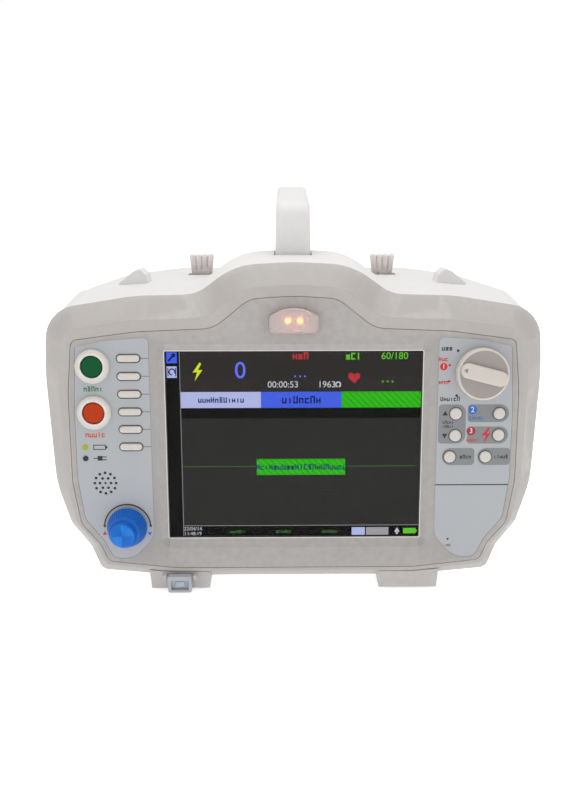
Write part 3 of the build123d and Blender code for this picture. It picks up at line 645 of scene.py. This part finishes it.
roundKeys = {"rim": 5.7, "places": ((133.1, 27.3), (133.1, 8.8), (169, 27.3), (169, 9.2),
                                    (129.1, -9.2), (158.8, -9.2))}
modeKnob = {"x": 153, "y": 60.8, "face": 19.4, "dots": 27, "pointer": 15.6, "turn": -14.5}
menuKnob = {"x": -139.9, "y": -68.4, "arc": 19.3, "flutes": 40, "fluteDepth": 0.5, "steps": 160,
            "fluted": (3, 15),
            "profile": [(16.2, 1.4), (16.7, 2.6), (16.6, 4), (13.6, 13.5), (12.6, 17.2), (11.4, 18.2),
                        (10.5, 18.8), (10.2, 22.6), (9.5, 24.2), (7.6, 24.9), (0.01, 24.9)]}
speakerHoles = {"x": -157, "y": -30.6, "radius": 1, "rings": ((6, 4.6), (12, 8.8))}
batteryMark = {"x": -160.6, "wide": 9.6, "high": 4.4, "line": 0.7}
marks = []


def inkPiece(name, shade):
    marks.append((startPiece(name), ink[shade]))


def addModeDots(turn):  # one dot above the mode knob's middle and one below, to its left
    for side in (1, -1):
        x = modeKnob["x"] - modeKnob["dots"] * cos(radians(turn))
        y = modeKnob["y"] + side * modeKnob["dots"] * sin(radians(turn))
        addDisc(x, y, 1.1, 20, **inkOver)


softRows = [softKeys["top"] - softKeys["pitch"] * row for row in range(softKeys["count"])]
inkPiece("leftTicks", "grey")  # a line from each soft key to the screen
for y in softRows:
    addBar(-122.3, y, 8.6, 0.9, **inkOver)
# painted shade: a dark rounded outline around each soft key
inkPiece("softKeyShadows", "shadow")
for y in softRows:
    addBar(softKeys["x"], y, softKeys["straight"], 2 * softKeys["radius"], **inkOver)
    for side in (-1, 1):
        addDisc(softKeys["x"] + side * softKeys["straight"] / 2, y, softKeys["radius"], 32, **inkOver)
inkPiece("keyZones", "grey")
for zone in (  # left, right, low, high, and the corner radius at the left and at the right
    (143, 177, 20, 35, 3, 7.4), (143, 177, 1.9, 16.4, 3, 7.1), (122.7, 149.7, -16.4, -1.8, 7.2, 3),
    (152.3, 179.4, -16.4, -1.8, 7.2, 3), (119, 141.6, 2, 35, 3, 7.2),
):
    addShape(roundedShape(*zone), **inkUnder)
# painted shadow: a dark disc around and under each round key
inkPiece("roundKeyShadows", "shadow")
for x, y in roundKeys["places"]:
    addDisc(x, y, roundKeys["rim"], 40, **inkTop)
inkPiece("blackMarks", "black")
addBar(148.7, -33.3, 62, 0.9, **inkOver)
addArc(menuKnob["x"], menuKnob["y"], menuKnob["arc"], 1.0, 5, 170, **inkOver)
for x in (-159.2, -120.6):
    addDisc(x, -67.8, 1.7, 3, turn=180, **inkOver)
addDisc(124.4, 27, 2.6, 3, **inkTop)
addDisc(124.4, 9, 2.6, 3, turn=180, **inkTop)
addModeDots(43.2)
for x, y, high, letters, seed, layer in (
    (124.3, 81.4, 4, 3, 21, inkOver), (128, 39.6, 3.6, 6, 22, inkOver),
    (127, 20.1, 2.5, 5, 23, inkTop), (127, 16.6, 2.5, 5, 24, inkTop),
    (142.3, -9.2, 3.2, 4, 25, inkTop), (171.8, -9.2, 3.2, 5, 26, inkTop),
    (129.8, -86, 2.2, 3, 27, inkOver),
):
    addScribble(x, y, high, letters, seed, **layer)
addDisc(speakerHoles["x"], speakerHoles["y"], speakerHoles["radius"], 20, **inkOver)
for count, ring in speakerHoles["rings"]:
    for index in range(count):
        around = 2 * pi * index / count
        x = speakerHoles["x"] + ring * cos(around)
        addDisc(x, speakerHoles["y"] + ring * sin(around), speakerHoles["radius"], 20, **inkOver)
batteryEnd = batteryMark["wide"] / 2
for y in (1.8, -1.8):
    addBar(batteryMark["x"], y, batteryMark["wide"], batteryMark["line"], **inkOver)
for x in (batteryMark["x"] - batteryEnd, batteryMark["x"] + batteryEnd):
    addBar(x, 0, batteryMark["line"], batteryMark["high"], **inkOver)
addBar(batteryMark["x"] + batteryEnd + 1, 0, 1.2, 2, **inkOver)
for x, y, wide, high in (  # a mains plug: its cord, its body and two pins
    (-164.2, -9.4, 3.4, 0.8), (-160.6, -9.4, 4, 4), (-156.9, -8.2, 3.6, 0.8),
    (-156.9, -10.6, 3.6, 0.8),
):
    addBar(x, y, wide, high, **inkOver)
inkPiece("printMark", "green")
addScribble(-163.9, 48.8, 4.2, 5, 31, **inkOver)
inkPiece("alarmMark", "orange")
addScribble(-163.8, 10.6, 4.4, 5, 32, **inkOver)
inkPiece("redMarks", "red")
addDisc(-159.3, -74.5, 2.2, 3, **inkOver)
addModeDots(14.1)
addScribble(121.5, 72.5, 3.6, 3, 33, **inkOver)
addScribble(122.3, 53.6, 3.6, 3, 34, **inkOver)
addDisc(122, 66.3, 3.1, 32, **inkOver)
addShape(boltShape(159, 9.2, 14), **inkTop)
addScribble(147.7, 5.1, 2.7, 5, 35, **inkTop)
inkPiece("crimsonBadge", "crimson")
addDisc(146.2, 12.6, 3.7, 32, **inkTop)
inkPiece("blueMarks", "blue")
addDisc(-121.5, -74.5, 2.2, 3, turn=180, **inkOver)
addDisc(147, 30.4, 3.7, 32, **inkTop)
addScribble(150.4, 23.5, 2.7, 6, 36, **inkTop)
badgeNumbers = (("1", 122, 66.3, 3.6), ("2", 147, 30.4, 4.4), ("3", 146.2, 12.6, 4.4))
for text, x, y, high in badgeNumbers:
    marks.append((addWords(text, x, y, high, f"badge{text}", low=0.005, thick=0.02), ink["pale"]))
for piece, shade in marks:
    finishPiece(piece, onPanel, "main_unit", shade, smooth=False)
print("label marks made")

# the two small status lights: one lit, one dark
statusLights = {"x": -172.4, "radius": 2.25, "low": -0.3, "thick": 0.9}
chargeGlow = lit("chargeGlow", (0.46, 0.56, 0.03), 0.8)
for name, y, shade in (("chargeLight", 0, chargeGlow), ("mainsLight", -9.4, ink["black"])):
    dome = startPiece(name)
    addDisc(statusLights["x"], y, statusLights["radius"], 32, statusLights["low"], statusLights["thick"])
    finishPiece(dome, onPanel, "main_unit", shade)

# the blue knob: a fluted skirt, a step and a smooth cap, from rings of radius and height
knobSteps = menuKnob["steps"]
ringPoints = []
ringFaces = [tuple(reversed(range(knobSteps)))]
for ring, (radius, height) in enumerate(menuKnob["profile"]):
    fluted = menuKnob["fluted"][0] <= height <= menuKnob["fluted"][1]
    for step in range(knobSteps):
        around = 2 * pi * step / knobSteps
        wave = 0.5 + 0.5 * cos(menuKnob["flutes"] * around)
        reach = radius - menuKnob["fluteDepth"] * wave * fluted
        x = menuKnob["x"] + reach * cos(around)
        ringPoints.append((x, menuKnob["y"] + reach * sin(around), height))
        if ring:
            here, after = (knobSteps * ring + turn for turn in (step, (step + 1) % knobSteps))
            ringFaces.append((here - knobSteps, after - knobSteps, after, here))
knob = startPiece("flutedKnob")
deselectAll()
knob.data.clear_geometry()
knob.data.from_pydata(ringPoints, [], ringFaces)
finishPiece(knob, onPanel, "encoder_knob", finishes["blue"])
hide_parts("encoder_knob")
print("menu knob made")

# the paddle catches: four rounded fingers on a narrower root
combLook = {"x": 90, "back": 187.4, "ribs": 4, "pitch": 6.1, "footPitch": 4.6, "radius": 3.0,
            "low": 236, "high": 256, "sides": 28, "root": (18, 5, 15)}
combDepth = screenMiddle.y / mm + combLook["back"]
combRise = combLook["high"] - combLook["low"]
for side, body in ((-1, "paddle_latch_left"), (1, "paddle_latch_right")):
    comb = startPiece(body + "_fingers")
    middle = side * combLook["x"]
    for rib in range(combLook["ribs"]):
        share = rib - (combLook["ribs"] - 1) / 2
        foot, tip = (middle + share * combLook[pitch] for pitch in ("footPitch", "pitch"))
        bpy.ops.mesh.primitive_cylinder_add(
            vertices=combLook["sides"], radius=combLook["radius"], depth=combRise,
            location=((foot + tip) / 2, combDepth, (combLook["high"] + combLook["low"]) / 2),
            rotation=(0, (tip - foot) / combRise, 0),
        )
        bpy.ops.mesh.primitive_uv_sphere_add(
            segments=combLook["sides"], ring_count=combLook["sides"] // 2, radius=combLook["radius"],
            location=(tip, combDepth, combLook["high"]),
        )
    addBox((middle, combDepth, combLook["low"]), combLook["root"])
    finishPiece(comb, Matrix.Scale(mm, 4), body, finishes["latch"])
    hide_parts(body)

# the flap's translucent insert: an outer plate and a smaller one in front of it
flapLow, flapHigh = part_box("port_flap")
flapLook = {"x": -97, "middle": 8.8, "outer": (13.6, 1.0, 9.2), "outerBack": 2.9,
            "inner": (7.6, 1.4, 5.6), "innerBack": 2.1, "innerDrop": 0.6, "bevel": 0.4}
flapFront = flapLow.y / mm
insert = startPiece("flapInsert")
addBox((flapLook["x"], flapFront + flapLook["outerBack"], flapLook["middle"]), flapLook["outer"])
addBox((flapLook["x"], flapFront + flapLook["innerBack"], flapLook["middle"] - flapLook["innerDrop"]),
       flapLook["inner"])
finishPiece(insert, Matrix.Scale(mm, 4), "port_flap", finishes["flapInsert"])
bevelAll(insert, flapLook["bevel"] * mm, 2)

# the triangle and the shaded face on the mode knob
pointerTurn = radians(modeKnob["turn"])
modePointer = startPiece("modePointer")
addDisc(modeKnob["x"] - modeKnob["pointer"] * cos(pointerTurn),
        modeKnob["y"] - modeKnob["pointer"] * sin(pointerTurn), 2.3, 3,
        low=12.99, thick=0.06, turn=90 + modeKnob["turn"])
finishPiece(modePointer, onPanel, "mode_knob", ink["grey"], smooth=False)
modeShade = surface("modeShade", {"colour": (0.33, 0.295, 0.275), "second": (0.3, 0.265, 0.245),
                                  "rough": 0.42, "grain": 2000, "bump": 0.08})
modeFace = startPiece("modeFace")
addDisc(modeKnob["x"], modeKnob["y"], modeKnob["face"], 96, low=8.72, thick=0.1)
finishPiece(modeFace, onPanel, "mode_knob", modeShade, smooth=False)
print("paddle catches, flap insert and mode knob face made")

# camera, floor and lights
cameraSetup = {"back": 0.6263, "up": 0.244, "across": -0.0072, "tilt": 72, "yaw": -0.61, "lens": 36.5}
bpy.ops.object.camera_add(
    location=(cameraSetup["across"], screenMiddle.y - cameraSetup["back"],
              screenMiddle.z + cameraSetup["up"]),
    rotation=(radians(cameraSetup["tilt"]), 0, radians(cameraSetup["yaw"])),
)
camera = bpy.context.object
camera.data.lens = cameraSetup["lens"]
bpy.context.scene.camera = camera

floorSetup = {"size": 60, "drop": 0.0004, "colour": (0.9, 0.9, 0.9, 1), "rough": 0.9, "glow": 0.55}
bpy.ops.mesh.primitive_plane_add(size=floorSetup["size"], location=(0, 0, -floorSetup["drop"]))
floor = bpy.context.object
floor.name = "floor"
paleFloor = bpy.data.materials.new("paleFloor")
paleFloor.use_nodes = True
fillInputs(paleFloor.node_tree.nodes["Principled BSDF"], {
    "Base Color": floorSetup["colour"], "Roughness": floorSetup["rough"],
    "Emission Color": (1, 1, 1, 1), "Emission Strength": floorSetup["glow"],
})
floor.data.materials.append(paleFloor)

lightSetups = [
    {"name": "overhead", "place": (0, 0.1, 1.6), "turn": (0, 0, 0), "size": 1.6, "power": 14},
    {"name": "leftSoft", "place": (-1.3, -0.9, 0.9), "turn": (60, 0, -55), "size": 1.0, "power": 4},
    {"name": "rightSoft", "place": (1.3, -0.9, 0.9), "turn": (60, 0, 55), "size": 1.0, "power": 4},
    {"name": "frontSoft", "place": (0, -1.9, 0.8), "turn": (70, 0, 0), "size": 1.2, "power": 3},
]
for setup in lightSetups:
    lightTurn = [radians(turn) for turn in setup["turn"]]
    bpy.ops.object.light_add(type="AREA", location=setup["place"], rotation=lightTurn)
    light = bpy.context.object
    light.name = setup["name"]
    light.data.size = setup["size"]
    light.data.energy = setup["power"]

# the room is brighter behind the machine than in front of it, and its backdrop is white all round
roomLight = {"From Min": -0.4, "From Max": 0.5, "To Min": 0.34, "To Max": 0.8}
backdropLight = 1.02
room = bpy.data.worlds.new("paleRoom")
bpy.context.scene.world = room
room.use_nodes = True
roomTree = room.node_tree
background = roomTree.nodes["Background"]
facing = addNode(roomTree, "TexCoord")
splitter = addNode(roomTree, "SeparateXYZ")
ramp = addNode(roomTree, "MapRange", roomLight)
seen = addNode(roomTree, "LightPath")
choice = addNode(roomTree, "Mix", {"B": backdropLight})
roomTree.links.new(facing.outputs["Generated"], splitter.inputs["Vector"])
roomTree.links.new(splitter.outputs["Y"], ramp.inputs["Value"])
roomTree.links.new(seen.outputs["Is Camera Ray"], choice.inputs["Factor"])
roomTree.links.new(ramp.outputs["Result"], choice.inputs["A"])
roomTree.links.new(choice.outputs["Result"], background.inputs["Strength"])
background.inputs["Color"].default_value = (1, 1, 1, 1)
bpy.context.scene.view_settings.view_transform = "Standard"
print("camera and lights placed")
